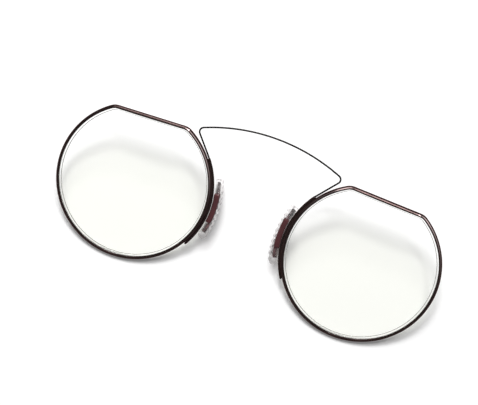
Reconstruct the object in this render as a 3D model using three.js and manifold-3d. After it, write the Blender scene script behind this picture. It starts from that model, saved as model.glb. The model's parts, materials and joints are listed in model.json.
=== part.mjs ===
// Pince-nez reading glasses: two rimmed lenses, a spring wire bridge and two clip-on nose pads.
// Units are millimetres and degrees. The glasses lie front side up on their rims and pads:
// +X runs along the line of the lens centres, +Y towards the flat brows and +Z up.
import * as THREE from 'three';
import { mergeVertices } from 'three/addons/utils/BufferGeometryUtils.js';
import Module from 'manifold-3d';

const wasm = await Module();
wasm.setup();

// Lens outline: a circle with a flat brow, its corners rounded
const LENS_CENTRE_DISTANCE = 62;
const RIM_INNER_RADIUS = 19.6;
const BROW_HEIGHT = 17.06;
const BROW_CORNER_RADIUS = 2.8;
const BROW_ROLL = 2.4;

// Rim section, with a vee groove for the lens
const RIM_WIDTH = 0.86;
const RIM_DEPTH = 1.5;
const RIM_EDGE_ROUND = 0.16;
const GROOVE_DEPTH = 0.32;
const GROOVE_HALF_WIDTH = 0.36;

// Lens: a meniscus of two dioptres with a vee bevel
const LENS_EDGE_THICKNESS = 1.3;
const LENS_FRONT_CURVE = 125;
const LENS_REAR_CURVE = 250;
const LENS_CLEARANCE = 0.05;

// Spring wire, and the tubes along the rims that hold its ends
const WIRE_DIAMETER = 0.46;
const WIRE_CLEARANCE = 0.02;
const TUBE_WALL = 0.05;
const TUBE_LOW_ANGLE = -31.5;
const TUBE_HIGH_ANGLE = 36.5;
const WIRE_LEAVE_ANGLE = 39.5;
const TUBE_PLUG_LENGTH = 1.2;
const WIRE_END_GAP = 0.2;
const WIRE_LEG_LENGTH = 5.8;
const WIRE_BEND_RADIUS = 1.1;
const ARCH_END_ANGLE = 22;
const BRAZE_GAP = 0.05;

// Nose pad carrier: a bar with a block that joins it to the tube
const PAD_STANDOFF = 0.8;
const PAD_SETBACK = 3.9;
const PAD_RAKE = 19.5;
const PAD_SPLAY = 7;
const PAD_FLARE = 2.8;
const BAR_LENGTH = 13.7;
const BAR_BREADTH = 3;
const BAR_THICKNESS = 0.65;
const BAR_EDGE_ROUND = 0.15;
const BLOCK_LOW_ANGLE = -9.5;
const BLOCK_HIGH_ANGLE = 11;
const BLOCK_FRONT = 0.4;
const BLOCK_DEPTH = 3.8;
const BLOCK_REACH = 1.45;

// Silicone pad, ribbed on the side towards the nose
const PAD_BREADTH = 6.4;
const PAD_TOP_OVERHANG = 1;
const PAD_BOTTOM_OVERHANG = 1.75;
const PAD_LENS_WALL = 0.52;
const PAD_NOSE_WALL = 0.6;
const PAD_EDGE_ROUND = 0.5;
const PAD_CLEARANCE = 0.08;
const PAD_TIP_ROUND = 0.4;
const RIB_HEIGHT = 0.28;
const RIB_PITCH = 1.45;

// Rim lock behind the rim: two lugs drawn together by a screw
const LOCK_GAP = 0.1;
const LUG_BREADTH = 1.05;
const LUG_HEIGHT = 1.7;
const LUG_DEPTH = 1.8;
const LUG_INSET = 0.05;
const SCREW_DIAMETER = 0.6;
const SCREW_CLEARANCE = 0.05;
const SCREW_HEAD_DIAMETER = 1.0;
const SCREW_HEAD_HEIGHT = 0.5;
const SCREW_HEAD_BEVEL = 0.1;
const SCREW_SLOT_WIDTH = 0.22;
const SCREW_SLOT_DEPTH = 0.22;
const LOCK_ROOM = 0.12;

// Fineness of the facets
const ARC_STEP = 6;
const CORNER_STEPS = 4;
const TUBE_STEPS = 16;
const LEAVE_STEPS = 2;
const TUBE_SIDES = 8;
const BEND_STEPS = 7;
const ARCH_STEPS = 24;
const BLOCK_STEPS = 5;
const SCREW_SIDES = 12;
const BAR_STEPS = 16;

// How far a cutting body runs past the face it cuts
const CUT_OVERSHOOT = 1;

// Rings of the lens faces, as shares of the lens outline
const LENS_RINGS = [0.2, 0.6, 1];

// Rounding of a pad's tip: share of the way into the tip, and share of the full thickness there
const TIP_SHARES = [[0.1, 0.6], [0.5, 0.85]];

// Radii and places that follow from the sizes above
const RIM_OUTER_RADIUS = RIM_INNER_RADIUS + RIM_WIDTH;
const BORE_RADIUS = WIRE_DIAMETER / 2 + WIRE_CLEARANCE;
const TUBE_RADIUS = BORE_RADIUS + TUBE_WALL;
const TUBE_LINE_RADIUS = RIM_OUTER_RADIUS + BRAZE_GAP + TUBE_RADIUS;
const TUBE_OUTER_RADIUS = TUBE_LINE_RADIUS + TUBE_RADIUS;
const PAD_RADIUS = TUBE_OUTER_RADIUS + PAD_STANDOFF;

const rad = THREE.MathUtils.degToRad;
const onCircle = (radius, angle) => new THREE.Vector2(radius * Math.cos(angle), radius * Math.sin(angle));

// Closed solids

function closedGeometry(positions, indices) {
  const geometry = new THREE.BufferGeometry();
  geometry.setAttribute('position', new THREE.Float32BufferAttribute(positions, 3));
  geometry.setIndex(indices);
  if (signedVolume(geometry) < 0) turnInsideOut(geometry);
  return geometry;
}

function signedVolume(geometry) {
  const corner = [new THREE.Vector3(), new THREE.Vector3(), new THREE.Vector3()];
  const index = geometry.index;
  let volume = 0;
  for (let i = 0; i < index.count; i += 3) {
    corner.forEach((c, k) => c.fromBufferAttribute(geometry.attributes.position, index.getX(i + k)));
    volume += corner[0].dot(corner[1].clone().cross(corner[2])) / 6;
  }
  return volume;
}

function turnInsideOut(geometry) {
  const index = geometry.index;
  for (let i = 0; i < index.count; i += 3) {
    const first = index.getX(i);
    index.setX(i, index.getX(i + 1));
    index.setX(i + 1, first);
  }
}

// Skin over a row of rings with equal counts; outline is the ring's flat shape, used to cap the ends
function loft(rings, outline) {
  const count = rings[0].length;
  const positions = rings.flat().flatMap((p) => [p.x, p.y, p.z]);
  const indices = [];
  for (let i = 0; i + 1 < rings.length; i += 1) {
    for (let k = 0; k < count; k += 1) {
      const a = i * count + k;
      const b = i * count + ((k + 1) % count);
      indices.push(a, b, b + count, a, b + count, a + count);
    }
  }
  const last = (rings.length - 1) * count;
  const clockwise = THREE.ShapeUtils.isClockWise(outline);
  for (const [a, b, c] of THREE.ShapeUtils.triangulateShape(outline, [])) {
    const [p, q] = clockwise ? [c, b] : [b, c];
    indices.push(a, q, p, last + a, last + p, last + q);
  }
  return closedGeometry(positions, indices);
}

function solidOf(geometry) {
  const bare = geometry.clone();
  bare.deleteAttribute('normal');
  bare.deleteAttribute('uv');
  const merged = mergeVertices(bare, 1e-6);
  return new wasm.Manifold(new wasm.Mesh({
    numProp: 3,
    vertProperties: new Float32Array(merged.attributes.position.array),
    triVerts: new Uint32Array(merged.index.array),
  }));
}

function geometryOf(solid) {
  const mesh = solid.getMesh();
  const geometry = new THREE.BufferGeometry();
  geometry.setAttribute('position', new THREE.BufferAttribute(new Float32Array(mesh.vertProperties), 3));
  geometry.setIndex(new THREE.BufferAttribute(new Uint32Array(mesh.triVerts), 1));
  return geometry;
}

function cut(body, ...tools) {
  return geometryOf(tools.reduce((left, tool) => left.subtract(solidOf(tool)), solidOf(body)));
}

function join(first, second) {
  return geometryOf(solidOf(first).add(solidOf(second)));
}

// Lens outline. A half is built about its lens centre: x towards the nose, y up, z out of the front.
// A station is a point of the rim's inner edge and the outward direction there.

function arcStations(centre, radius, from, to, steps) {
  const stations = [];
  for (let i = 0; i <= steps; i += 1) {
    const out = onCircle(1, from + ((to - from) * i) / steps);
    stations.push({ point: centre.clone().addScaledVector(out, radius), out });
  }
  return stations;
}

function rimStations() {
  const cornerY = BROW_HEIGHT - BROW_CORNER_RADIUS;
  const cornerReach = RIM_INNER_RADIUS - BROW_CORNER_RADIUS;
  const cornerX = Math.sqrt(cornerReach ** 2 - cornerY ** 2);
  const cornerAngle = Math.atan2(cornerY, cornerX);
  const roll = rad(BROW_ROLL);
  const gapAngle = Math.asin(LOCK_GAP / 2 / RIM_INNER_RADIUS);
  const top = Math.PI / 2;
  const start = gapAngle - roll;
  const end = 2 * Math.PI - gapAngle - roll;
  const steps = (from, to) => Math.ceil((to - from) / rad(ARC_STEP));
  const middle = new THREE.Vector2();
  const nearCorner = new THREE.Vector2(cornerX, cornerY);
  const farCorner = new THREE.Vector2(-cornerX, cornerY);
  const farAngle = Math.PI - cornerAngle;
  const stations = [
    ...arcStations(middle, RIM_INNER_RADIUS, start, cornerAngle, steps(start, cornerAngle)).slice(0, -1),
    ...arcStations(nearCorner, BROW_CORNER_RADIUS, cornerAngle, top, CORNER_STEPS),
    ...arcStations(farCorner, BROW_CORNER_RADIUS, top, farAngle, CORNER_STEPS).slice(0, -1),
    ...arcStations(middle, RIM_INNER_RADIUS, farAngle, end, steps(farAngle, end)),
  ];
  for (const { point, out } of stations) {
    point.rotateAround(middle, roll);
    out.rotateAround(middle, roll);
  }
  return stations;
}

const STATIONS = rimStations();

const outlinePoint = (station, offset) => station.point.clone().addScaledVector(station.out, offset);

function makeRim() {
  const half = RIM_DEPTH / 2;
  const section = [
    [0, GROOVE_HALF_WIDTH],
    [0, half - RIM_EDGE_ROUND],
    [RIM_EDGE_ROUND, half],
    [RIM_WIDTH - RIM_EDGE_ROUND, half],
    [RIM_WIDTH, half - RIM_EDGE_ROUND],
    [RIM_WIDTH, RIM_EDGE_ROUND - half],
    [RIM_WIDTH - RIM_EDGE_ROUND, -half],
    [RIM_EDGE_ROUND, -half],
    [0, RIM_EDGE_ROUND - half],
    [0, -GROOVE_HALF_WIDTH],
    [GROOVE_DEPTH, 0],
  ].map(([out, depth]) => new THREE.Vector2(out, depth));
  const rings = STATIONS.map((station) => section.map((corner) => {
    const p = outlinePoint(station, corner.x);
    return new THREE.Vector3(p.x, p.y, corner.y);
  }));
  return loft(rings, section);
}

function makeLens() {
  const sag = (curve, radius) => curve - Math.sqrt(curve ** 2 - radius ** 2);
  const half = LENS_EDGE_THICKNESS / 2;
  const frontAt = (r) => half + sag(LENS_FRONT_CURVE, RIM_INNER_RADIUS) - sag(LENS_FRONT_CURVE, r);
  const rearAt = (r) => -half + sag(LENS_REAR_CURVE, RIM_INNER_RADIUS) - sag(LENS_REAR_CURVE, r);
  const bevelHalfWidth = GROOVE_HALF_WIDTH - LENS_CLEARANCE;
  const bevelHeight = GROOVE_DEPTH - LENS_CLEARANCE * Math.hypot(1, GROOVE_DEPTH / GROOVE_HALF_WIDTH);
  const edge = STATIONS.map((station) => outlinePoint(station, -LENS_CLEARANCE));
  const ridge = STATIONS.map((station) => outlinePoint(station, bevelHeight));
  const face = (share, depthAt) => edge.map((p) => {
    const q = p.clone().multiplyScalar(share);
    return new THREE.Vector3(q.x, q.y, depthAt(q.length()));
  });
  const level = (points, depth) => points.map((p) => new THREE.Vector3(p.x, p.y, depth));
  const rings = [
    ...LENS_RINGS.map((share) => face(share, frontAt)),
    level(edge, bevelHalfWidth),
    level(ridge, 0),
    level(edge, -bevelHalfWidth),
    ...LENS_RINGS.toReversed().map((share) => face(share, rearAt)),
  ];
  return loft(rings, edge);
}

// Wire and its tubes lie in the plane of the rims

function roundSection(radius) {
  const turn = (2 * Math.PI) / TUBE_SIDES;
  return Array.from({ length: TUBE_SIDES }, (_, k) => onCircle(radius, (k + 0.5) * turn));
}

// Tube along a flat path of stations, each a point and the sideways direction there
function pipe(path, radius) {
  const section = roundSection(radius);
  const rings = path.map(({ point, out }) => section.map((corner) => {
    const p = point.clone().addScaledVector(out, corner.x);
    return new THREE.Vector3(p.x, p.y, corner.y);
  }));
  return loft(rings, section);
}

const plugAngle = rad(TUBE_LOW_ANGLE) + TUBE_PLUG_LENGTH / TUBE_LINE_RADIUS;
const wireEndAngle = plugAngle + WIRE_END_GAP / TUBE_LINE_RADIUS;
const tubeTopAngle = rad(TUBE_HIGH_ANGLE);
const wireLeaveAngle = rad(WIRE_LEAVE_ANGLE);

function tubeStation(angle) {
  const out = onCircle(1, angle);
  return { point: onCircle(TUBE_LINE_RADIUS, angle), out };
}

// The stretch of tube that holds the wire
function wiredPath() {
  return arcStations(new THREE.Vector2(), TUBE_LINE_RADIUS, wireEndAngle, tubeTopAngle, TUBE_STEPS);
}

// Station straight on from an angle of the tube's line
function straightOn(angle, distance) {
  const { point, out } = tubeStation(angle);
  const along = new THREE.Vector2(-out.y, out.x);
  return { point: point.addScaledVector(along, distance), out };
}

function makeTube() {
  const plug = tubeStation(plugAngle);
  const shell = pipe([tubeStation(rad(TUBE_LOW_ANGLE)), plug, ...wiredPath()], TUBE_RADIUS);
  const bore = pipe([plug, ...wiredPath(), straightOn(tubeTopAngle, CUT_OVERSHOOT)], BORE_RADIUS);
  return cut(shell, bore);
}

// Wire from the end in one tube, along the rim to where it leaves it, up its leg, round the bend and
// over the arch to the middle; points are about the lens centre, half the centre distance from the middle
function halfWirePath() {
  const centre = new THREE.Vector2();
  const bare = arcStations(centre, TUBE_LINE_RADIUS, tubeTopAngle, wireLeaveAngle, LEAVE_STEPS);
  const leg = straightOn(wireLeaveAngle, WIRE_LEG_LENGTH);
  const bendCentre = leg.point.clone().addScaledVector(leg.out, WIRE_BEND_RADIUS);
  const archAngle = Math.PI / 2 + rad(ARCH_END_ANGLE);
  const bend = arcStations(bendCentre, WIRE_BEND_RADIUS, wireLeaveAngle + Math.PI, archAngle, BEND_STEPS);
  for (const { out } of bend) out.negate();
  const bendEnd = bend.at(-1).point;
  const noseX = LENS_CENTRE_DISTANCE / 2;
  const archRadius = (noseX - bendEnd.x) / Math.sin(rad(ARCH_END_ANGLE));
  const archCentre = new THREE.Vector2(noseX, bendEnd.y - archRadius * Math.cos(rad(ARCH_END_ANGLE)));
  const arch = arcStations(archCentre, archRadius, archAngle, Math.PI / 2, ARCH_STEPS / 2);
  for (const { out } of arch) out.negate();
  return [...wiredPath(), ...bare.slice(1), ...bend, ...arch.slice(1)];
}

function makeWire() {
  const half = LENS_CENTRE_DISTANCE / 2;
  const left = halfWirePath().map(({ point, out }) => ({
    point: new THREE.Vector2(point.x - half, point.y),
    out,
  }));
  const right = left.slice(0, -1).reverse().map(({ point, out }) => ({
    point: new THREE.Vector2(-point.x, point.y),
    out: new THREE.Vector2(-out.x, out.y),
  }));
  return pipe([...left, ...right], WIRE_DIAMETER / 2);
}

// Nose pad parts are laid out flat, then splayed, raked and bent round the rim:
// along runs up the pad, front towards the front of the glasses and out towards the nose
function bendPoint(along, front, out) {
  const splay = rad(PAD_SPLAY);
  const rake = rad(PAD_RAKE);
  const splayedOut = out * Math.cos(splay) + front * Math.sin(splay);
  const splayedFront = front * Math.cos(splay) - out * Math.sin(splay);
  const depth = splayedFront * Math.cos(rake) - along * Math.sin(rake) - PAD_SETBACK;
  const arc = along * Math.cos(rake) + splayedFront * Math.sin(rake);
  const radius = PAD_RADIUS + splayedOut - along * Math.tan(rad(PAD_FLARE));
  const p = onCircle(radius, arc / PAD_RADIUS);
  return new THREE.Vector3(p.x, p.y, depth);
}

// Half breadth of a plate with round ends, at a place along it
function stadium(along, low, high, halfBreadth) {
  const intoEnd = Math.max(low + halfBreadth - along, along - (high - halfBreadth), 0);
  return Math.sqrt(Math.max(halfBreadth ** 2 - intoEnd ** 2, 0));
}

// Plate section: breadth from front to rear, thickness from the lens side to the nose side
function plateSection(halfBreadth, lensSide, noseSide, round) {
  const r = Math.min(round, halfBreadth / 2, (noseSide - lensSide) / 3);
  return [
    [r - halfBreadth, lensSide],
    [halfBreadth - r, lensSide],
    [halfBreadth, lensSide + r],
    [halfBreadth, noseSide - r],
    [halfBreadth - r, noseSide],
    [r - halfBreadth, noseSide],
    [-halfBreadth, noseSide - r],
    [-halfBreadth, lensSide + r],
  ].map(([front, out]) => new THREE.Vector2(front, out));
}

// A bar with round ends, grown all round by a clearance
function makeBar(grow) {
  const end = BAR_LENGTH / 2 + grow;
  const halfBreadth = BAR_BREADTH / 2 + grow;
  const halfThickness = BAR_THICKNESS / 2 + grow;
  const turn = (i) => (Math.PI * (i + 0.4)) / (BAR_STEPS + 0.8);
  const stations = Array.from({ length: BAR_STEPS + 1 }, (_, i) => -end * Math.cos(turn(i)));
  const sections = stations.map((along) => plateSection(
    stadium(along, -end, end, halfBreadth), -halfThickness, halfThickness, BAR_EDGE_ROUND));
  const rings = sections.map((section, i) => section.map((c) => bendPoint(stations[i], c.x, c.y)));
  return loft(rings, sections[BAR_STEPS / 2]);
}

// The block that carries the bar, a short thick arc beside the tube, grown all round by a clearance;
// towards the lens and the front it may be extended, to cut its way into the pad
function makeBlock(grow, extend) {
  const inner = TUBE_OUTER_RADIUS + BRAZE_GAP - grow - extend;
  const outer = TUBE_OUTER_RADIUS + BLOCK_REACH + grow;
  const front = -BLOCK_FRONT + grow + extend;
  const rear = -BLOCK_FRONT - BLOCK_DEPTH - grow;
  const section = [
    new THREE.Vector2(inner, rear),
    new THREE.Vector2(outer, rear),
    new THREE.Vector2(outer, front),
    new THREE.Vector2(inner, front),
  ];
  const growAngle = grow / TUBE_OUTER_RADIUS;
  const low = rad(BLOCK_LOW_ANGLE) - growAngle;
  const high = rad(BLOCK_HIGH_ANGLE) + growAngle;
  const rings = Array.from({ length: BLOCK_STEPS + 1 }, (_, i) => section.map((corner) => {
    const p = onCircle(corner.x, low + ((high - low) * i) / BLOCK_STEPS);
    return new THREE.Vector3(p.x, p.y, corner.y);
  }));
  return loft(rings, section);
}

const LOCK_X = RIM_INNER_RADIUS + LUG_INSET + LUG_BREADTH / 2;
const LOCK_Z = -RIM_DEPTH / 2 - BRAZE_GAP - LUG_DEPTH / 2;
const LOCK_TOP = LOCK_GAP / 2 + LUG_HEIGHT;
const LOCK_BOTTOM = -LOCK_TOP - SCREW_HEAD_HEIGHT;

function makeLockRoom() {
  const height = LOCK_TOP - LOCK_BOTTOM + 2 * LOCK_ROOM;
  const room = new THREE.BoxGeometry(LUG_BREADTH + 2 * LOCK_ROOM, height, LUG_DEPTH + 2 * LOCK_ROOM);
  return room.translate(LOCK_X, (LOCK_TOP + LOCK_BOTTOM) / 2, LOCK_Z);
}

function makeBracket() {
  return cut(join(makeBlock(0, 0), makeBar(0)), makeLockRoom());
}

function makePad() {
  const low = -BAR_LENGTH / 2 - PAD_BOTTOM_OVERHANG;
  const high = BAR_LENGTH / 2 + PAD_TOP_OVERHANG;
  const lensSide = -BAR_THICKNESS / 2 - PAD_LENS_WALL;
  const noseSide = BAR_THICKNESS / 2 + PAD_NOSE_WALL;
  const first = low + PAD_TIP_ROUND;
  const last = high - PAD_TIP_ROUND;
  const ribSteps = 2 * Math.round((last - first) / RIB_PITCH);
  const ribs = Array.from({ length: ribSteps + 1 }, (_, i) => ({
    along: first + ((last - first) * i) / ribSteps,
    rib: i % 2 ? RIB_HEIGHT : 0,
    full: 1,
  }));
  const tip = (end, inward) => TIP_SHARES.map(([share, full]) => ({
    along: end + inward * share * PAD_TIP_ROUND,
    rib: 0,
    full,
  }));
  const stations = [...tip(low, 1), ...ribs, ...tip(high, -1).reverse()];
  const sections = stations.map(({ along, rib, full }) => plateSection(
    stadium(along, low, high, PAD_BREADTH / 2), lensSide * full, noseSide * full + rib, PAD_EDGE_ROUND));
  const rings = sections.map((section, i) => section.map((c) => bendPoint(stations[i].along, c.x, c.y)));
  const body = loft(rings, sections[Math.floor(sections.length / 2)]);
  return cut(body, makeBar(PAD_CLEARANCE), makeBlock(PAD_CLEARANCE, PAD_BREADTH), makeLockRoom());
}

// Rim lock

function makeLug(up) {
  const middle = up * (LOCK_GAP / 2 + LUG_HEIGHT / 2);
  const lug = new THREE.BoxGeometry(LUG_BREADTH, LUG_HEIGHT, LUG_DEPTH).translate(LOCK_X, middle, LOCK_Z);
  const radius = SCREW_DIAMETER / 2 + SCREW_CLEARANCE;
  const bore = new THREE.CylinderGeometry(radius, radius, 2 * LUG_HEIGHT, SCREW_SIDES);
  bore.translate(LOCK_X, middle, LOCK_Z);
  return cut(lug, bore);
}

function makeScrew() {
  const headTop = LOCK_BOTTOM + SCREW_HEAD_HEIGHT - SCREW_CLEARANCE;
  const headRadius = SCREW_HEAD_DIAMETER / 2;
  const shankRadius = SCREW_DIAMETER / 2;
  const profile = [
    [0, LOCK_BOTTOM],
    [headRadius - SCREW_HEAD_BEVEL, LOCK_BOTTOM],
    [headRadius, LOCK_BOTTOM + SCREW_HEAD_BEVEL],
    [headRadius, headTop],
    [shankRadius, headTop],
    [shankRadius, LOCK_TOP],
    [0, LOCK_TOP],
  ].map(([r, y]) => new THREE.Vector2(r, y));
  const screw = new THREE.LatheGeometry(profile, SCREW_SIDES).translate(LOCK_X, 0, LOCK_Z);
  const slot = new THREE.BoxGeometry(SCREW_SLOT_WIDTH, 2 * SCREW_SLOT_DEPTH, 2 * SCREW_HEAD_DIAMETER);
  slot.translate(LOCK_X, LOCK_BOTTOM, LOCK_Z);
  return cut(screw, slot);
}

// Materials

const finish = (color, roughness, metalness, opacity = 1) => new THREE.MeshStandardMaterial({
  color, roughness, metalness, opacity, transparent: opacity < 1,
});
const LACQUER = finish(0x3b1f20, 0.28, 0.6);
const LENS_RESIN = finish(0xf4f6ec, 0.03, 0, 0.16);
const SPRING_WIRE = finish(0x1b1a1b, 0.35, 0.8);
const SILICONE = finish(0xe9e8e4, 0.35, 0, 0.45);

// Assembly: each half is made once towards the nose, and mirrored for the other side

const halfParts = [
  ['rim', makeRim(), LACQUER],
  ['lens', makeLens(), LENS_RESIN],
  ['wire_tube', makeTube(), LACQUER],
  ['pad_bracket', makeBracket(), LACQUER],
  ['nose_pad', makePad(), SILICONE],
  ['rim_lug_upper', makeLug(1), LACQUER],
  ['rim_lug_lower', makeLug(-1), LACQUER],
  ['rim_lock_screw', makeScrew(), LACQUER],
];

function sided(geometry, side) {
  const placed = geometry.clone();
  placed.scale(-side, 1, 1);
  placed.translate((side * LENS_CENTRE_DISTANCE) / 2, 0, 0);
  if (side > 0) turnInsideOut(placed);
  return placed;
}

// Tilt at which the bottoms of the rims and the backs of the pads touch one plane
function restingTilt(rim, pad) {
  const lowest = (geometry, tilt) => {
    const place = geometry.attributes.position;
    let low = Infinity;
    for (let i = 0; i < place.count; i += 1) {
      low = Math.min(low, place.getY(i) * Math.sin(tilt) + place.getZ(i) * Math.cos(tilt));
    }
    return low;
  };
  let flat = 0;
  let steep = Math.PI / 3;
  for (let i = 0; i < 50; i += 1) {
    const tilt = (flat + steep) / 2;
    if (lowest(pad, tilt) < lowest(rim, tilt)) flat = tilt;
    else steep = tilt;
  }
  return (flat + steep) / 2;
}

const named = Object.fromEntries(halfParts.map(([name, geometry]) => [name, geometry]));
const tilted = new THREE.Group();
tilted.rotation.x = restingTilt(named.rim, named.nose_pad);
const mesh = (name, geometry, material) => {
  const part = new THREE.Mesh(geometry, material);
  part.name = name;
  tilted.add(part);
};
for (const [name, geometry, material] of halfParts) {
  mesh(`${name}_left`, sided(geometry, -1), material);
  mesh(`${name}_right`, sided(geometry, 1), material);
}
mesh('bridge_wire', makeWire(), SPRING_WIRE);

// The origin is under the middle of the glasses, on the surface they lie on
const glasses = new THREE.Group();
glasses.add(tilted);
const box = new THREE.Box3().setFromObject(glasses, true);
const middle = box.getCenter(new THREE.Vector3());
tilted.position.set(-middle.x, -middle.y, -box.min.z);

export default glasses;
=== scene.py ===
"""Looks of the pince-nez reading glasses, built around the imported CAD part.

A half is drawn about its lens centre, in millimetres: x towards the nose, y up the lens and z out of its
front. place() carries such points to the row frame, in metres, where the glasses lie tilted on the table.
"""
import json
import math

import bmesh
import bpy
import numpy as np
from mathutils import Matrix, Vector


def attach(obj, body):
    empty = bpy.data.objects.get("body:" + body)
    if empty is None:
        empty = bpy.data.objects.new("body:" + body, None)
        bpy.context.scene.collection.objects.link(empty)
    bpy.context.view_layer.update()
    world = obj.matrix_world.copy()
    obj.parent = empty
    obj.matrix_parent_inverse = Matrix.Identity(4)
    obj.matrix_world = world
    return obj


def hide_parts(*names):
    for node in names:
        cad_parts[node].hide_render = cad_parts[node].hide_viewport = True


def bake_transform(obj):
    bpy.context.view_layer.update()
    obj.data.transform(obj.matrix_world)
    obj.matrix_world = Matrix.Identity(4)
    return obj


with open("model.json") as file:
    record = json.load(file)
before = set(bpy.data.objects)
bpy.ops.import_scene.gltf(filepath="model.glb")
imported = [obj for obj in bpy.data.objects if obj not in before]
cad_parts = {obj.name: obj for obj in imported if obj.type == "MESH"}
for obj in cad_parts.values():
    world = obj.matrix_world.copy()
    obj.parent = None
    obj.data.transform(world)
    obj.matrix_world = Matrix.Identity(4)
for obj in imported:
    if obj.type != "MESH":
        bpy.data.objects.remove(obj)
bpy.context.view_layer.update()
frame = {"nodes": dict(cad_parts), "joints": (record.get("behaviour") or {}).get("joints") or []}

MILLIMETRES_PER_METRE = 1000

# Sizes of the CAD part, in millimetres and radians
HALF_DISTANCE = 31.0
RIM_RADIUS = 19.6
BROW_HEIGHT = 17.06
BROW_CORNER = 2.8
BROW_ROLL = math.radians(2.4)
RIM_WIDTH = 0.86
RIM_DEPTH = 1.5
GROOVE_DEPTH = 0.32
GROOVE_HALF_WIDTH = 0.36
LENS_EDGE = 1.3
LENS_FRONT_CURVE = 125.0
LENS_REAR_CURVE = 250.0
LENS_CLEARANCE = 0.05
WIRE_RADIUS = 0.23
TUBE_RADIUS = 0.3
TUBE_LOW = math.radians(-31.5)
TUBE_HIGH = math.radians(36.5)
WIRE_LOW = math.radians(-27.6)
WIRE_LEAVE = math.radians(39.5)
WIRE_LEG = 5.8
WIRE_BEND = 1.1
ARCH_END = math.radians(22)
BRAZE_GAP = 0.05
PAD_STANDOFF = 0.8
PAD_SETBACK = 3.9
PAD_RAKE = math.radians(19.5)
PAD_SPLAY = math.radians(7)
PAD_FLARE = math.radians(2.8)
BAR_LENGTH = 13.7
BAR_BREADTH = 3.0
BAR_THICKNESS = 0.65
BLOCK_LOW = math.radians(-9.5)
BLOCK_HIGH = math.radians(11)
BLOCK_REACH = 1.45
BLOCK_FRONT = -0.4
BLOCK_REAR = -4.2
PAD_BREADTH = 6.4
PAD_TOP = 1.0
PAD_BOTTOM = 1.75
PAD_LENS_WALL = 0.52
PAD_NOSE_WALL = 0.6
PAD_ROUND = 0.9
PAD_FIT = 0.08
RIB_HEIGHT = 0.28
RIB_PITCH = 1.45
HINGE_HEIGHT = 21.8

# Radii and ends that follow from the sizes above
TUBE_LINE = RIM_RADIUS + RIM_WIDTH + BRAZE_GAP + TUBE_RADIUS
TUBE_OUTER = TUBE_LINE + TUBE_RADIUS
PAD_RADIUS = TUBE_OUTER + PAD_STANDOFF
BLOCK_INNER = TUBE_OUTER + BRAZE_GAP
BLOCK_OUTER = TUBE_OUTER + BLOCK_REACH
PAD_LOW = -BAR_LENGTH / 2 - PAD_BOTTOM
PAD_HIGH = BAR_LENGTH / 2 + PAD_TOP

# Forms that the CAD part leaves out: the rims' facet, the step behind the lenses, seams and eased edges
RIM_INNER_SHOULDER = 0.42
RIM_OUTER_SHOULDER = 0.1
RIM_RIDGE = 0.29
RIM_FACET = 0.27
RIM_FACET_TILT = math.radians(24.5)
RIM_SPLIT = 0.1
SHELF_WIDTH = 0.55
SHELF_RISE = 0.29
SHELF_SLOPE = 0.18
BRAZE_SEAM = 0.2
TUBE_TIP = 0.5
MOUTH_SHOULDER = 0.06
MOUTH_SHOULDER_RADIUS = TUBE_RADIUS * 0.93
MOUTH_LENGTH = 0.09
MOUTH_RADIUS = WIRE_RADIUS * 1.02
BAR_EDGE = 0.15
BLOCK_EDGE = 0.12
CUTTER_EDGE = 0.02
PAD_TIP = 0.5
PAD_END_FULLNESS = 0.45
RIB_SOFTNESS = 0.35

# Eased edges of the CAD nodes that are shown, with a width in metres
CAD_EASE = 0.00006
CAD_EASE_SEGMENTS = 3
CAD_EASE_ANGLE = math.radians(40)

# Ends of the block: how far in from the end, in lengths of its edge, and the share of the section there
EASED_ENDS = ((0, 0.9), (0.3, 0.97), (1, 1))
BLUNT_ENDS = ((0, 1), (0.3, 1), (1, 1))

# Fineness of the meshes
SHARP_ANGLE = math.radians(35)
OUTLINE_STEP = math.radians(2)
BROW_CORNER_STEPS = 10
BROW_STEPS = 24
EASE_POINTS = 7
FACET_POINTS = 6
LENS_RINGS = 24
LENS_CAP_SHARE = 0.03
TUBE_SIDES = 20
TUBE_RINGS = 70
WIRE_SIDES = 16
SLEEVE_RINGS = 32
LEG_RINGS = 8
BEND_STEPS = 16
ARCH_STEPS = 40
CORNER_POINTS = 6
CORNER_LIMIT = 0.98
BAR_TURNS = np.linspace(0.02, 0.98, 50)
BLOCK_RINGS = 24
PAD_RINGS = 150
TIP_TURNS = np.linspace(0.12, 1, 6) * math.pi / 2

# Frosting of a pad: faces of its section, counted from the front edge over the nose side, and a start
# past the ends of the bar
FROSTED_FACES = range(1, 11)
FROST_START = 0.5

# Painted highlight: a lighter colour on the facet that stands in for a lamp's reflection, not wear
# Share of the painted highlight on the rims' facet beside each brow, at angles up the arcs in degrees
PAINTED_HIGHLIGHT_ANGLES = (0, 15, 30, 42, 50, 57, 60, 62, 64, 67)
NO_PAINTED_HIGHLIGHT = (0,) * len(PAINTED_HIGHLIGHT_ANGLES)
PAINTED_HIGHLIGHT_TABLE = {
    "left": {
        "nose": (0, 0.1, 0.35, 0.55, 0.6, 0.62, 0.35, 0, 0, 0),
        "temple": NO_PAINTED_HIGHLIGHT,
    },
    "right": {
        "nose": (0, 0, 0.05, 0.1, 0.15, 0.2, 0.1, 0, 0, 0),
        "temple": (0, 0.04, 0.12, 0.3, 0.56, 1.0, 0.75, 0.25, 0.03, 0),
    },
}
PAINTED_HIGHLIGHT_STEEPNESS = 2.0

# Heights, in metres, between which the pad carriers' lacquer turns grey towards the upper prongs:
# a painted reflection of the lamp
PAINTED_REFLECTION_LOW = 0.0036
PAINTED_REFLECTION_HIGH = 0.0046

# The camera, in metres, with the photograph's width and focal length in pixels
PHOTO_WIDTH = 478
FOCAL_PIXELS = 1000.0
SENSOR_WIDTH = 36.0
CAMERA_PLACE = Vector((0.01101, -0.026867, 0.261885))
CAMERA_AIM = Vector((-0.003926, 0.003877, 0.0))
CAMERA_ROLL = math.radians(-20.32)
CAMERA_NEAR = 0.01

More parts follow.
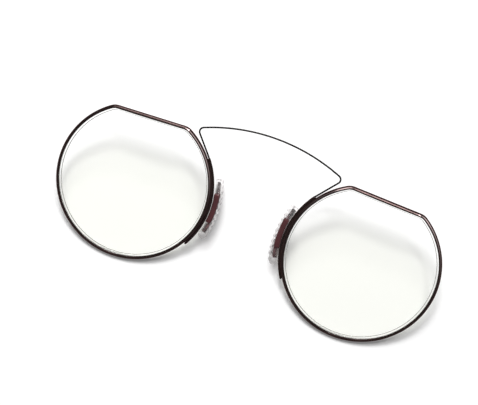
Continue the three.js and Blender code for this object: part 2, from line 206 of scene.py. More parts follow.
# Light, in metres and watts: a soft box behind the brows with a brighter middle just in front of it,
# a small lamp that glints on a brow, and an even surround
KEY_PLACE = Vector((-0.152, 0.392, 0.656))
KEY_SIZE = 0.6
KEY_POWER = 5.2
CORE_PLACE = KEY_PLACE * 0.99
CORE_SIZE = 0.16
CORE_POWER = 2.0
GLINT_PLACE = Vector((0.1214, 0.3087, 0.7305))
GLINT_SIZE = 0.08
GLINT_POWER = 0.62
SURROUND = 0.14

# Floor, in metres: its glow, and the distances between which it fades to white
FLOOR_COLOUR = (0.9, 0.9, 0.9, 1)
FLOOR_GLOW = 0.125
FLOOR_HALF = 2.0
FLOOR_FADE_START = 0.16
FLOOR_FADE_END = 0.5

WHITE = (1, 1, 1, 1)

# Depths of a ray are whole numbers, so these split none from one and one from two
NONE_OR_ONE = 0.5
ONE_OR_TWO = 1.5

# Sockets of a Mix node that is set to colours
MIX_SHARE = 0
MIX_FIRST = 6
MIX_SECOND = 7
MIX_RESULT = 2

# Side of the nose that each half is on, along x
SIDES = {"left": -1, "right": 1}

# Resting tilt of the lens plane and its place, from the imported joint
joint = frame["joints"][0]
TILT = math.atan2(-joint["axis"][1], joint["axis"][2])
SHIFT_Y = joint["pos_m"][1] * MILLIMETRES_PER_METRE - HINGE_HEIGHT * math.cos(TILT)
SHIFT_Z = joint["pos_m"][2] * MILLIMETRES_PER_METRE - HINGE_HEIGHT * math.sin(TILT)


def place(points, side):
    """Points of one half, in millimetres, as points of the row frame in metres."""
    p = np.asarray(points, float)
    x = side * (HALF_DISTANCE - p[..., 0])
    y = p[..., 1] * math.cos(TILT) - p[..., 2] * math.sin(TILT) + SHIFT_Y
    z = p[..., 1] * math.sin(TILT) + p[..., 2] * math.cos(TILT) + SHIFT_Z
    return np.stack([x, y, z], -1) / MILLIMETRES_PER_METRE


def circle(radius, angle):
    """Point at an angle on a circle about the origin."""
    angle = np.asarray(angle, float)
    return np.stack([radius * np.cos(angle), radius * np.sin(angle)], -1)


def smooth(mesh):
    """Shades a mesh smooth, except across its sharp edges."""
    mesh.shade_smooth()
    mesh.set_sharp_from_angle(angle=SHARP_ANGLE)


def new_object(name, vertices, faces):
    """A mesh object in the scene, with its faces outwards."""
    mesh = bpy.data.meshes.new(name)
    mesh.from_pydata([tuple(v) for v in vertices], [], faces)
    work = bmesh.new()
    work.from_mesh(mesh)
    bmesh.ops.recalc_face_normals(work, faces=work.faces[:])
    work.to_mesh(mesh)
    work.free()
    smooth(mesh)
    made = bpy.data.objects.new(name, mesh)
    bpy.context.scene.collection.objects.link(made)
    return made


def loft_faces(rows, count, first):
    """Faces over a row of rings with equal counts of points, with a cap on each end."""
    faces = []
    for i in range(rows - 1):
        for k in range(count):
            a = first + i * count + k
            b = first + i * count + (k + 1) % count
            faces.append((a, b, b + count, a + count))
    faces.append(tuple(range(first, first + count)))
    last = first + (rows - 1) * count
    faces.append(tuple(range(last, last + count)))
    return faces


def loft(name, side, *solids):
    """One object over one or more lofts, each a list of rings of points in millimetres."""
    vertices = []
    faces = []
    for rings in solids:
        rings = np.asarray(rings, float)
        faces += loft_faces(rings.shape[0], rings.shape[1], len(vertices))
        vertices += list(place(rings, side).reshape(-1, 3))
    return new_object(name, vertices, faces)


# Lens outline: points of the rim's inner edge and the outward direction there

def arc(centre, radius, start, end, steps):
    """Points and outward directions along an arc."""
    out = circle(1, np.linspace(start, end, steps + 1))
    return np.asarray(centre) + radius * out, out


def outline():
    """Open path round the lens, from the split in the rim to the split."""
    corner_y = BROW_HEIGHT - BROW_CORNER
    corner_x = math.sqrt((RIM_RADIUS - BROW_CORNER) ** 2 - corner_y ** 2)
    corner_angle = math.atan2(corner_y, corner_x)
    far_angle = math.pi - corner_angle
    gap = RIM_SPLIT / 2 / RIM_RADIUS
    start = gap - BROW_ROLL
    end = 2 * math.pi - gap - BROW_ROLL
    near_steps = math.ceil((corner_angle - start) / OUTLINE_STEP)
    far_steps = math.ceil((end - far_angle) / OUTLINE_STEP)
    near, near_out = arc((0, 0), RIM_RADIUS, start, corner_angle, near_steps)
    near_corner = arc((corner_x, corner_y), BROW_CORNER, corner_angle, math.pi / 2, BROW_CORNER_STEPS)
    far_corner = arc((-corner_x, corner_y), BROW_CORNER, math.pi / 2, far_angle, BROW_CORNER_STEPS)
    far, far_out = arc((0, 0), RIM_RADIUS, far_angle, end, far_steps)
    brow_x = np.linspace(corner_x, -corner_x, BROW_STEPS + 1)[1:-1]
    brow = np.column_stack([brow_x, np.full(len(brow_x), BROW_HEIGHT)])
    brow_out = np.tile((0.0, 1.0), (len(brow_x), 1))
    points = np.concatenate([near[:-1], near_corner[0], brow, far_corner[0][:-1], far])
    outs = np.concatenate([near_out[:-1], near_corner[1], brow_out, far_corner[1][:-1], far_out])
    c, s = math.cos(BROW_ROLL), math.sin(BROW_ROLL)
    turn = np.array([[c, s], [-s, c]])
    return points @ turn, outs @ turn


POINTS, OUTS = outline()


# Rims and lenses

def eased(start, corner, end):
    """Points of a curve from start to end that rounds off a corner."""
    start, corner, end = np.asarray(start), np.asarray(corner), np.asarray(end)
    u = np.linspace(0, 1, EASE_POINTS)[:, None]
    return (1 - u) ** 2 * start + 2 * u * (1 - u) * corner + u ** 2 * end


def rim_section():
    """Rim section as (outward, forward) points: a ridge, a facet sloping outwards, and a groove inside."""
    top = RIM_DEPTH / 2
    slope = math.tan(RIM_FACET_TILT)
    facet_out = np.linspace(RIM_RIDGE, RIM_RIDGE + RIM_FACET, FACET_POINTS)
    facet = np.column_stack([facet_out, top - slope * (facet_out - RIM_RIDGE)])
    flank = (RIM_WIDTH, top - slope * (RIM_WIDTH - RIM_RIDGE))
    inside = eased((0, RIM_INNER_SHOULDER), (0, top), facet[0])
    outside = eased(facet[-1], flank, (RIM_WIDTH, RIM_OUTER_SHOULDER))
    front = [tuple(p) for p in np.vstack([inside, facet[1:-1], outside])]
    rear = [(o, -u) for o, u in reversed(front)]
    groove = [(0, -GROOVE_HALF_WIDTH), (GROOVE_DEPTH, 0), (0, GROOVE_HALF_WIDTH)]
    return np.array(front + rear + groove)


def painted_highlight_shares(side_name, section):
    """Share of the painted highlight at each point of each ring: only on the front facet."""
    angles = np.arctan2(POINTS[:, 1], np.abs(POINTS[:, 0])) - BROW_ROLL * np.sign(POINTS[:, 0])
    nose = np.interp(np.degrees(angles), PAINTED_HIGHLIGHT_ANGLES, PAINTED_HIGHLIGHT_TABLE[side_name]["nose"])
    temple = np.interp(np.degrees(angles), PAINTED_HIGHLIGHT_ANGLES, PAINTED_HIGHLIGHT_TABLE[side_name]["temple"])
    along = np.where(POINTS[:, 0] > 0, nose, temple)
    half_facet = RIM_FACET / 2
    off_middle = np.abs(section[:, 0] - RIM_RIDGE - half_facet) / half_facet
    across = np.clip(PAINTED_HIGHLIGHT_STEEPNESS * (1 - off_middle), 0, 1) * (section[:, 1] > 0)
    return np.outer(along, across).ravel()


def make_rim(side_name, side):
    """Rim split at the nose, whose points carry the share of the painted highlight."""
    section = rim_section()
    rings = []
    for point, out in zip(POINTS, OUTS):
        flat = point + out * section[:, :1]
        rings.append(np.column_stack([flat, section[:, 1]]))
    rim = loft(f"rim_shell_{side_name}", side, rings)
    # The points carry the share of the painted highlight, which the lacquer reads
    painted_highlight = rim.data.attributes.new("painted_highlight", "FLOAT", "POINT")
    painted_highlight.data.foreach_set("value", painted_highlight_shares(side_name, section))
    return rim


def sag(curve, radius):
    """Depth of a lens face at a radius, below its middle."""
    return curve - np.sqrt(curve ** 2 - radius ** 2)


def make_lens(side_name, side):
    """Lens with a bevelled edge and a step round its back, and the list of its ground faces."""
    edge = POINTS - OUTS * LENS_CLEARANCE
    bevel_height = GROOVE_DEPTH - LENS_CLEARANCE * math.hypot(1, GROOVE_DEPTH / GROOVE_HALF_WIDTH)
    ridge = POINTS + OUTS * bevel_height
    bevel = GROOVE_HALF_WIDTH - LENS_CLEARANCE
    shelf = SHELF_RISE - LENS_EDGE / 2
    shelf_share = 1 - SHELF_WIDTH / RIM_RADIUS
    count = len(POINTS)

    def curved(share, curve, depth):
        flat = edge * share
        radius = np.hypot(flat[:, 0], flat[:, 1])
        return np.column_stack([flat, depth + sag(curve, RIM_RADIUS) - sag(curve, radius)])

    def level(flat, depth):
        return np.column_stack([flat, np.full(count, depth)])

    front_shares = np.linspace(LENS_CAP_SHARE, 1, LENS_RINGS)
    rear_shares = np.linspace(shelf_share, LENS_CAP_SHARE, LENS_RINGS)
    rings = [curved(share, LENS_FRONT_CURVE, LENS_EDGE / 2) for share in front_shares]
    edge_start = (len(rings) - 1) * count
    rings += [level(edge, bevel), level(ridge, 0), level(edge, -bevel), level(edge, shelf)]
    edge_end = (len(rings) - 1) * count
    rings.append(level(edge - OUTS * (SHELF_WIDTH - SHELF_SLOPE), shelf))
    slope_start = (len(rings) - 1) * count
    rings += [curved(share, LENS_REAR_CURVE, -LENS_EDGE / 2) for share in rear_shares]
    ground = [*range(edge_start, edge_end), *range(slope_start, slope_start + count)]
    return loft(f"lens_blank_{side_name}", side, rings), ground


# Wire and tubes, in the plane of the rims

def pipe_rings(points, outs, radii, sides, seam=0.0):
    """Rings of a round pipe along a flat path, drawn inwards by a seam where it is brazed on."""
    turns = np.linspace(0, 2 * math.pi, sides, endpoint=False)
    inward = np.maximum(-np.cos(turns), 0) * seam
    rings = []
    for point, out, radius in zip(points, outs, radii):
        flat = point + out * (radius * (np.cos(turns) - inward))[:, None]
        rings.append(np.column_stack([flat, radius * np.sin(turns)]))
    return rings


def make_tube(side_name, side):
    """Tube with a rounded lower tip, and an upper mouth that draws in to the wire."""
    tip = TUBE_TIP / TUBE_LINE
    body = np.linspace(TUBE_LOW + tip, TUBE_HIGH, TUBE_RINGS)[1:]
    outs = circle(1, np.concatenate([TUBE_LOW + tip * (1 - np.cos(TIP_TURNS)), body]))
    radii = [*(TUBE_RADIUS * np.sin(TIP_TURNS)), *np.full(len(body), TUBE_RADIUS)]
    points = TUBE_LINE * outs
    along = np.array([-outs[-1][1], outs[-1][0]])
    points = np.vstack([points, points[-1] + along * MOUTH_SHOULDER, points[-1] + along * MOUTH_LENGTH])
    outs = np.vstack([outs, outs[-1], outs[-1]])
    radii += [MOUTH_SHOULDER_RADIUS, MOUTH_RADIUS]
    return loft(f"wire_sleeve_{side_name}", side, pipe_rings(points, outs, radii, TUBE_SIDES, BRAZE_SEAM))


def half_wire():
    """Path of the wire from its end in the left tube to the middle of the arch."""
    sleeve = circle(1, np.linspace(WIRE_LOW, WIRE_LEAVE, SLEEVE_RINGS))
    mouth_out = sleeve[-1]
    along = np.array([-mouth_out[1], mouth_out[0]])
    leg = [TUBE_LINE * mouth_out + along * d for d in np.linspace(0, WIRE_LEG, LEG_RINGS)[1:-1]]
    leg_end = TUBE_LINE * mouth_out + along * WIRE_LEG
    bend_centre = leg_end + mouth_out * WIRE_BEND
    bend_end = math.pi / 2 + ARCH_END
    bend, bend_out = arc(bend_centre, WIRE_BEND, WIRE_LEAVE + math.pi, bend_end, BEND_STEPS)
    arch_radius = (HALF_DISTANCE - bend[-1][0]) / math.sin(ARCH_END)
    arch_centre = np.array([HALF_DISTANCE, bend[-1][1] - arch_radius * math.cos(ARCH_END)])
    arch, arch_out = arc(arch_centre, arch_radius, bend_end, math.pi / 2, ARCH_STEPS)
    points = np.vstack([TUBE_LINE * sleeve, leg, bend, arch[1:]])
    outs = np.vstack([sleeve, np.repeat(mouth_out[None], len(leg), 0), -bend_out, -arch_out[1:]])
    return points, outs


def make_wire():
    """The whole wire: the left half of its path and that half mirrored."""
    points, outs = half_wire()
    mirror = np.array([-1, 1])
    middle = np.array([HALF_DISTANCE, 0])
    right_points = ((points - middle) * mirror + middle)[::-1][1:]
    right_outs = (outs * mirror)[::-1][1:]
    points = np.vstack([points, right_points])
    outs = np.vstack([outs, right_outs])
    rings = pipe_rings(points, outs, np.full(len(points), WIRE_RADIUS), WIRE_SIDES)
    return loft("bridge_spring", SIDES["left"], rings)


# Pad carriers and nose pads: laid out flat, then splayed, raked and bent round the rim

def bend_points(along, front, out):
    """Points laid out along, to the front and outwards, as points of a half."""
    along, front, out = np.broadcast_arrays(along, front, out)
    splayed_out = out * math.cos(PAD_SPLAY) + front * math.sin(PAD_SPLAY)
    splayed_front = front * math.cos(PAD_SPLAY) - out * math.sin(PAD_SPLAY)
    depth = splayed_front * math.cos(PAD_RAKE) - along * math.sin(PAD_RAKE) - PAD_SETBACK
    run = along * math.cos(PAD_RAKE) + splayed_front * math.sin(PAD_RAKE)
    radius = PAD_RADIUS + splayed_out - along * math.tan(PAD_FLARE)
    return np.column_stack([circle(1, run / PAD_RADIUS) * radius[:, None], depth])


def stadium(along, low, high, half_breadth):
    """Half breadth of a plate with round ends, at a place along it."""
    into = max(low + half_breadth - along, along - (high - half_breadth), 0)
    return math.sqrt(max(half_breadth ** 2 - into ** 2, 0))


def rounded(half_width, low, high, corner):
    """Rectangle from -half_width to half_width and low to high, with round corners."""
    r = min(corner, half_width * CORNER_LIMIT, (high - low) / 2 * CORNER_LIMIT)
    right = half_width - r
    upper = high - r
    lower = low + r
    section = []
    for quarter, (x, y) in enumerate([(right, upper), (-right, upper), (-right, lower), (right, lower)]):
        turns = np.linspace(quarter, quarter + 1, CORNER_POINTS) * math.pi / 2
        section += [(x + r * math.cos(t), y + r * math.sin(t)) for t in turns]
    return np.array(section)


def bar_rings():
    """Flat bar with round ends, which are the carrier's two prongs."""
    end = BAR_LENGTH / 2
    half_thickness = BAR_THICKNESS / 2
    rings = []
    for turn in BAR_TURNS:
        along = -end * math.cos(math.pi * turn)
        half_breadth = stadium(along, -end, end, BAR_BREADTH / 2)
        section = rounded(half_breadth, -half_thickness, half_thickness, BAR_EDGE)
        rings.append(bend_points(along, section[:, 0], section[:, 1]))
    return rings


def block_rings(edge, ends, grow=0.0, extend=0.0):
    """Block beside the tube; it may be grown all round, and extended to the lens side and the front."""
    inner = BLOCK_INNER - grow - extend
    outer = BLOCK_OUTER + grow
    section = rounded((outer - inner) / 2, BLOCK_REAR - grow, BLOCK_FRONT + grow + extend, edge)
    section[:, 0] += (outer + inner) / 2
    middle = section.mean(0)
    ease = edge / BLOCK_INNER
    low = BLOCK_LOW - grow / BLOCK_INNER
    high = BLOCK_HIGH + grow / BLOCK_INNER
    stations = [(low + ease * at, share) for at, share in ends]
    stations += [(angle, 1) for angle in np.linspace(low + ease, high - ease, BLOCK_RINGS)[1:-1]]
    stations += [(high - ease * at, share) for at, share in reversed(ends)]
    rings = []
    for angle, share in stations:
        s = middle + (section - middle) * share
        rings.append(np.column_stack([circle(1, np.full(len(s), angle)) * s[:, :1], s[:, 1]]))
    return rings


def make_bracket(side_name, side):
    """Pad carrier: the block and the bar."""
    return loft(f"pad_carrier_{side_name}", side, block_rings(BLOCK_EDGE, EASED_ENDS), bar_rings())


def rib(along):
    """Height of the pad's ribs at a place along it: a row of blunt teeth."""
    phase = ((along - PAD_LOW - PAD_TIP) / RIB_PITCH) % 1
    tooth = 1 - abs(2 * phase - 1)
    soft_tooth = (1 - math.cos(math.pi * tooth)) / 2
    return RIB_HEIGHT * ((1 - RIB_SOFTNESS) * tooth + RIB_SOFTNESS * soft_tooth)


def pad_stations():
    """Places along the pad, closer together towards its rounded ends."""
    tip = PAD_TIP * (1 - np.cos(TIP_TURNS))
    body = np.linspace(PAD_LOW + PAD_TIP, PAD_HIGH - PAD_TIP, PAD_RINGS)[1:-1]
    return np.concatenate([PAD_LOW + tip, body, PAD_HIGH - tip[::-1]])


def pad_rings(stations):
    """Rings of a ribbed pad with round ends, thinner towards its tips."""
    lens_side = -BAR_THICKNESS / 2 - PAD_LENS_WALL
    nose_side = BAR_THICKNESS / 2 + PAD_NOSE_WALL
    rings = []
    for along in stations:
        into = max(PAD_LOW + PAD_TIP - along, along - (PAD_HIGH - PAD_TIP), 0) / PAD_TIP
        full = PAD_END_FULLNESS + (1 - PAD_END_FULLNESS) * math.sqrt(max(1 - into ** 2, 0))
        half_breadth = stadium(along, PAD_LOW, PAD_HIGH, PAD_BREADTH / 2)
        nose = (nose_side + rib(along)) * full
        section = rounded(half_breadth, lens_side * full, nose, PAD_ROUND * full)
        rings.append(bend_points(along, section[:, 0], section[:, 1]))
    return rings


def carve(body, cutter):
    """Takes the cutter's solid out of the body, and deletes the cutter."""
    change = body.modifiers.new("carve", "BOOLEAN")
    change.operation = "DIFFERENCE"
    change.solver = "EXACT"
    change.object = cutter
    bpy.context.view_layer.update()
    carved = bpy.data.meshes.new_from_object(body.evaluated_get(bpy.context.evaluated_depsgraph_get()))
    body.modifiers.clear()
    body.data = carved
    bpy.data.objects.remove(cutter)
    smooth(carved)


def make_pad(side_name, side):
    """Pad cut open for the block, frosted on its nose side and past the ends of the bar."""
    stations = pad_stations()
    rings = pad_rings(stations)
    count = len(rings[0])
    pad = loft(f"silicone_pad_{side_name}", side, rings)
    pad.data.materials.append(SILICONE)
    pad.data.materials.append(FROSTED)
    for row, along in enumerate(stations[:-1]):
        past_bar = abs(along) > BAR_LENGTH / 2 + FROST_START
        for k in range(count):
            frosted = past_bar or k in FROSTED_FACES
            pad.data.polygons[row * count + k].material_index = int(frosted)
    way_in = block_rings(CUTTER_EDGE, BLUNT_ENDS, grow=PAD_FIT, extend=PAD_BREADTH)
    carve(pad, loft("cutter", side, way_in))
    return pad


# Materials

class Nodes:
    """A node tree, with short ways to add and join its nodes."""

    def __init__(self, tree, output):
        self.tree = tree
        self.tree.nodes.clear()
        self.output = self.add(output)

    def feed(self, target, value):
        """Joins a socket to the target, or sets the target to a plain value."""
        if isinstance(value, bpy.types.NodeSocket):
            self.tree.links.new(value, target)
        else:
            target.default_value = value

    def add(self, kind, **sockets):
        """A new node, with its sockets fed by name."""
        node = self.tree.nodes.new(kind)
        for key, value in sockets.items():
            self.feed(node.inputs[key.replace("_", " ")], value)
        return node

    def show(self, shader):
        """Makes a shader the surface."""
        self.feed(self.output.inputs["Surface"], shader.outputs[0])

    def calculate(self, operation, first, second):
        """Result of an operation on two values."""
        node = self.add("ShaderNodeMath")
        node.operation = operation
        self.feed(node.inputs[0], first)
        self.feed(node.inputs[1], second)
        return node.outputs[0]

    def mix_shaders(self, share, first, second):
        """The first shader, given over to the second by a share."""
        mix = self.add("ShaderNodeMixShader", Fac=share)
        self.feed(mix.inputs[1], first.outputs[0])
        self.feed(mix.inputs[2], second.outputs[0])
        return mix

    def mix_colours(self, share, first, second, blend="MIX"):
        """The first colour, blended with the second by a share."""
        mix = self.add("ShaderNodeMix")
        mix.data_type = "RGBA"
        mix.blend_type = blend
        self.feed(mix.inputs[MIX_SHARE], share)
        self.feed(mix.inputs[MIX_FIRST], first)
        self.feed(mix.inputs[MIX_SECOND], second)
        return mix.outputs[MIX_RESULT]

    def seen_rays(self):
        """One for rays that show the background: of camera, mirrors and glass, before any matt surface."""
        path = self.add("ShaderNodeLightPath").outputs
        shown = self.calculate("MAXIMUM", path["Is Camera Ray"], path["Is Glossy Ray"])
        shown = self.calculate("MAXIMUM", shown, path["Is Transmission Ray"])
        before_matt = self.calculate("LESS_THAN", path["Diffuse Depth"], NONE_OR_ONE)
        return self.calculate("MULTIPLY", shown, before_matt)

    def let_lamps_through(self, shader, tint):
        """Shows a clear shader, but with a plain tint for light on its way to matt surfaces.

        Light that was mirrored more than once is let out in the same way, so that none is trapped inside.
        """
        path = self.add("ShaderNodeLightPath").outputs
        lighting = self.calculate("MAXIMUM", path["Is Shadow Ray"], path["Is Diffuse Ray"])
        caught = self.calculate("GREATER_THAN", path["Glossy Depth"], ONE_OR_TWO)
        through = self.add("ShaderNodeBsdfTransparent", Color=tint)
        leaves = self.calculate("MAXIMUM", lighting, caught)
        self.show(self.mix_shaders(leaves, shader, through))

    def noise(self, scale, detail, roughness=0.5):
        """Noise over the object's own coordinates, which are in metres."""
        where = self.add("ShaderNodeTexCoord").outputs["Object"]
        noise = self.add("ShaderNodeTexNoise", Vector=where, Scale=scale, Detail=detail, Roughness=roughness)
        return noise.outputs["Fac"]

    def ramp(self, value, start, end):
        """Colour that goes with a value, between two stops of a value and a colour each."""
        node = self.add("ShaderNodeValToRGB", Fac=value)
        for element, (at, colour) in zip(node.color_ramp.elements, (start, end)):
            element.position = at
            element.color = (*colour, 1)
        return node.outputs["Color"]

    def spread(self, value, low, high):
        """A value from nought to one, spread between two others."""
        return self.add("ShaderNodeMapRange", Value=value, To_Min=low, To_Max=high).outputs["Result"]

    def upper_end(self):
        """One above a height up the lenses, and nought below it."""
        where = self.add("ShaderNodeTexCoord").outputs["Object"]
        height = self.add("ShaderNodeSeparateXYZ", Vector=where).outputs["Y"]
        share = self.add("ShaderNodeMapRange", Value=height, From_Min=PAINTED_REFLECTION_LOW, From_Max=PAINTED_REFLECTION_HIGH)
        return share.outputs["Result"]

    def attribute(self, name):
        """A value that the mesh carries, nought where it has none."""
        node = self.add("ShaderNodeAttribute")
        node.attribute_name = name
        return node.outputs["Fac"]

    def bump(self, shader, value, strength, distance):
        """Raises a shader's surface by a value, over a distance in metres."""
        node = self.add("ShaderNodeBump", Height=value, Strength=strength, Distance=distance)
        self.feed(shader.inputs["Normal"], node.outputs["Normal"])


def new_material(name):
    """An empty material and its nodes."""
    material = bpy.data.materials.new(name)
    material.use_nodes = True
    return material, Nodes(material.node_tree, "ShaderNodeOutputMaterial")


def lacquer(name, dark, light, painted_highlight_colour, roughness, painted_highlight=False, **sockets):
    """Lacquer on metal: a slow drift of colour, fine orange peel, faint marks and a painted highlight.

    The highlight is a colour painted where the mesh carries its share, or else at the upper end.
    It stands in for a lamp's reflection, not wear.
    """
    material, nodes = new_material(name)
    colour = nodes.ramp(nodes.noise(scale=260, detail=3), (0.3, dark), (0.7, light))
    # Painted highlight: a colour mixed in by the mesh's share or by height, in place of a lamp's reflection
    share = nodes.attribute("painted_highlight") if painted_highlight else nodes.upper_end()
    colour = nodes.mix_colours(share, colour, (*painted_highlight_colour, 1))
    marks = nodes.noise(scale=5200, detail=6, roughness=0.65)
    gloss = nodes.spread(marks, roughness * 0.75, roughness * 1.3)
    shader = nodes.add("ShaderNodeBsdfPrincipled", Base_Color=colour, Roughness=gloss, **sockets)
    nodes.bump(shader, nodes.noise(scale=9000, detail=2), strength=0.08, distance=0.00002)
    nodes.show(shader)
    return material


def steel(name, dark, light, roughness):
    """Drawn steel: fine streaks in colour and roughness."""
    material, nodes = new_material(name)
    streaks = nodes.noise(scale=7000, detail=5, roughness=0.6)
    shader = nodes.add(
        "ShaderNodeBsdfPrincipled",
        Metallic=1.0,
        Specular_Tint=(0.12, 0.11, 0.11, 1),
        Base_Color=nodes.ramp(streaks, (0.35, dark), (0.65, light)),
        Roughness=nodes.spread(streaks, roughness * 0.8, roughness * 1.25),
    )
    nodes.bump(shader, streaks, strength=0.1, distance=0.00001)
    nodes.show(shader)
    return material


def lens_resin():
    """Clear resin that bends what is seen through it, and lets lamps through with a faint warm tint."""
    material, nodes = new_material("lens_resin")
    glass = nodes.add(
        "ShaderNodeBsdfPrincipled",
        Base_Color=(1.0, 1.0, 0.995, 1),
        IOR=1.5,
        Transmission_Weight=1.0,
        Roughness=nodes.spread(nodes.noise(scale=900, detail=3), 0.0, 0.012),
    )
    nodes.let_lamps_through(glass, (0.92, 0.925, 0.897, 1))
    return material


def ground_edge():
    """Ground edge of a lens: matt and greyish, with the fine grain of the grinding wheel."""
    material, nodes = new_material("lens_ground_edge")
    grain = nodes.noise(scale=6000, detail=4, roughness=0.6)
    shader = nodes.add(
        "ShaderNodeBsdfPrincipled",
        Base_Color=nodes.ramp(grain, (0.3, (0.2, 0.195, 0.19)), (0.7, (0.32, 0.315, 0.3))),
        IOR=1.5,
        Transmission_Weight=0.3,
        Roughness=nodes.spread(grain, 0.5, 0.75),
    )
    nodes.bump(shader, grain, strength=0.15, distance=0.00001)
    nodes.show(shader)
    return material


def silicone(name, clearness):
    """Milky silicone: soft clouding, greyer edges and a fine matt skin; it dims the lamps behind it."""
    material, nodes = new_material(name)
    haze = nodes.noise(scale=700, detail=4)
    clouds = nodes.ramp(haze, (0.3, (0.97, 0.945, 0.95)), (0.7, (1.0, 0.98, 0.98)))
    facing = nodes.add("ShaderNodeLayerWeight", Blend=0.5).outputs["Facing"]
    edges = nodes.ramp(facing, (0.4, (1, 1, 1)), (0.9, (0.93, 0.91, 0.91)))
    shader = nodes.add(
        "ShaderNodeBsdfPrincipled",
        Base_Color=nodes.mix_colours(1.0, clouds, edges, "MULTIPLY"),
        IOR=1.06,
        Transmission_Weight=clearness,
        Roughness=nodes.spread(nodes.noise(scale=2500, detail=3), 0.0, 0.05),
        Coat_Weight=0.4,
        Coat_Roughness=0.2,
    )
    nodes.let_lamps_through(shader, (0.76, 0.75, 0.75, 1))
    return material


LACQUER = lacquer(
    "rim_lacquer",
    dark=(0.0125, 0.0083, 0.008),
    light=(0.0205, 0.0139, 0.0134),
    # Colour of the painted highlight on the rims' facet
    painted_highlight_colour=(0.75, 0.58, 0.57),
    roughness=0.09,
    painted_highlight=True,
    Metallic=1.0,
    Specular_Tint=(0.5, 0.28, 0.27, 1),
    Sheen_Weight=0.15,
    Sheen_Tint=(0.9, 0.55, 0.52, 1),
)
BURGUNDY = lacquer(
    "bracket_lacquer",
    dark=(0.055, 0.015, 0.017),
    light=(0.08, 0.024, 0.027),
    # Grey towards the upper end: a painted reflection of the lamp on the prongs
    painted_highlight_colour=(0.05, 0.044, 0.045),
    roughness=0.5,
    Metallic=0.35,
    Specular_Tint=(0.2, 0.1, 0.1, 1),
    Coat_Weight=0.25,
    Coat_Roughness=0.06,
)
WIRE_BLACK = steel("wire_black", dark=(0.008, 0.007, 0.007), light=(0.02, 0.018, 0.018), roughness=0.3)
SCREW_STEEL = steel("screw_steel", dark=(0.16, 0.14, 0.13), light=(0.3, 0.28, 0.26), roughness=0.35)
LENS = lens_resin()
GROUND_EDGE = ground_edge()
SILICONE = silicone("silicone", clearness=0.97)
FROSTED = silicone("silicone_frosted", clearness=0.45)


# The glasses

def dress(piece, material, body, node):
    """Gives a piece its material if it has none, and puts it on its body in place of a CAD node."""
    if not piece.data.materials:
        piece.data.materials.append(material)
    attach(piece, body)
    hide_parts(node)


def dress_cad(node, material):
    """Keeps a CAD node, with eased edges and a detailed material."""
    shown = frame["nodes"][node]
    shown.data.materials.clear()
    shown.data.materials.append(material)
    ease = shown.modifiers.new("ease", "BEVEL")
    ease.width = CAD_EASE
    ease.segments = CAD_EASE_SEGMENTS
    ease.limit_method = "ANGLE"
    ease.angle_limit = CAD_EASE_ANGLE


for side_name, side in SIDES.items():
    body = f"{side_name}_half"
    dress(make_rim(side_name, side), LACQUER, body, f"rim_{side_name}")
    lens, ground_faces = make_lens(side_name, side)
    dress(lens, LENS, body, f"lens_{side_name}")
    lens.data.materials.append(GROUND_EDGE)
    for face in ground_faces:
        lens.data.polygons[face].material_index = 1
    dress(make_tube(side_name, side), LACQUER, body, f"wire_tube_{side_name}")
    dress(make_bracket(side_name, side), BURGUNDY, body, f"pad_bracket_{side_name}")
    dress(make_pad(side_name, side), SILICONE, body, f"nose_pad_{side_name}")
    dress_cad(f"rim_lug_upper_{side_name}", LACQUER)
    dress_cad(f"rim_lug_lower_{side_name}", LACQUER)
    dress_cad(f"rim_lock_screw_{side_name}", SCREW_STEEL)

# The wire bends between the halves, from one corner of its arch to the other
wire = make_wire()
wire.data.materials.append(WIRE_BLACK)
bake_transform(wire)
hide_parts("bridge_wire")


# Stage

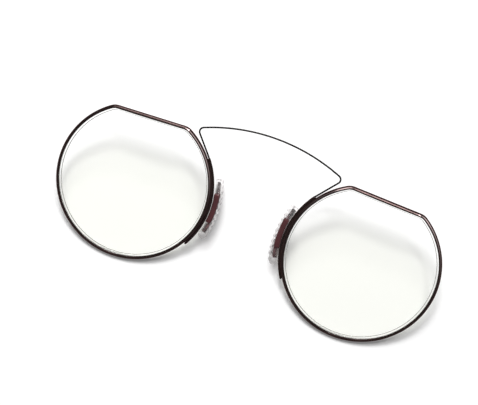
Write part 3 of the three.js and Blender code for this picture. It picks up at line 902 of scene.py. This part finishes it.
def make_floor():
    """Pale floor that keeps the glasses' shadow, and is seen to fade to white farther out."""
    mesh = bpy.data.meshes.new("floor")
    corners = [(x * FLOOR_HALF, y * FLOOR_HALF, 0) for x, y in ((-1, -1), (1, -1), (1, 1), (-1, 1))]
    mesh.from_pydata(corners, [], [(0, 1, 2, 3)])
    floor = bpy.data.objects.new("floor", mesh)
    bpy.context.scene.collection.objects.link(floor)
    material, nodes = new_material("floor")
    seen = nodes.seen_rays()
    matt = nodes.add("ShaderNodeBsdfDiffuse", Color=FLOOR_COLOUR)
    glow = nodes.add("ShaderNodeEmission", Strength=nodes.calculate("MULTIPLY", seen, FLOOR_GLOW))
    near = nodes.add("ShaderNodeAddShader")
    nodes.feed(near.inputs[0], matt.outputs[0])
    nodes.feed(near.inputs[1], glow.outputs[0])
    distance = nodes.add("ShaderNodeVectorMath")
    distance.operation = "LENGTH"
    nodes.feed(distance.inputs[0], nodes.add("ShaderNodeTexCoord").outputs["Object"])
    fade = nodes.add("ShaderNodeMapRange", From_Min=FLOOR_FADE_START, From_Max=FLOOR_FADE_END)
    fade.interpolation_type = "SMOOTHSTEP"
    nodes.feed(fade.inputs["Value"], distance.outputs["Value"])
    far = nodes.calculate("MULTIPLY", fade.outputs["Result"], seen)
    nodes.show(nodes.mix_shaders(far, near, nodes.add("ShaderNodeEmission", Color=WHITE)))
    mesh.materials.append(material)


def make_world():
    """An even surround that lights the glasses, seen as plain white."""
    world = bpy.data.worlds.new("surround")
    bpy.context.scene.world = world
    world.use_nodes = True
    nodes = Nodes(world.node_tree, "ShaderNodeOutputWorld")
    even = nodes.add("ShaderNodeBackground", Color=WHITE, Strength=SURROUND)
    white = nodes.add("ShaderNodeBackground", Color=WHITE)
    nodes.show(nodes.mix_shaders(nodes.seen_rays(), even, white))


def make_lamp(name, where, size, power):
    """A round soft lamp that faces the glasses."""
    data = bpy.data.lights.new(name, "AREA")
    data.shape = "DISK"
    data.size = size
    data.energy = power
    lamp = bpy.data.objects.new(name, data)
    lamp.location = where
    lamp.rotation_euler = (-where).to_track_quat("-Z", "Y").to_euler()
    bpy.context.scene.collection.objects.link(lamp)


def make_camera():
    """Camera at the photograph's viewing angle, rolled about its view."""
    forward = (CAMERA_AIM - CAMERA_PLACE).normalized()
    level_side = forward.cross(Vector((0, 1, 0))).normalized()
    level_up = level_side.cross(forward)
    up = level_up * math.cos(CAMERA_ROLL) + level_side * math.sin(CAMERA_ROLL)
    side = forward.cross(up)
    data = bpy.data.cameras.new("camera")
    data.sensor_width = SENSOR_WIDTH
    data.lens = SENSOR_WIDTH * FOCAL_PIXELS / PHOTO_WIDTH
    data.clip_start = CAMERA_NEAR
    camera = bpy.data.objects.new("camera", data)
    turn = Matrix((side, up, -forward)).transposed().to_4x4()
    camera.matrix_world = Matrix.Translation(CAMERA_PLACE) @ turn
    bpy.context.scene.collection.objects.link(camera)
    bpy.context.scene.camera = camera


make_floor()
make_world()
make_lamp("soft_box", KEY_PLACE, KEY_SIZE, KEY_POWER)
make_lamp("soft_box_core", CORE_PLACE, CORE_SIZE, CORE_POWER)
make_lamp("glint", GLINT_PLACE, GLINT_SIZE, GLINT_POWER)
make_camera()
bpy.context.scene.view_settings.view_transform = "Standard"
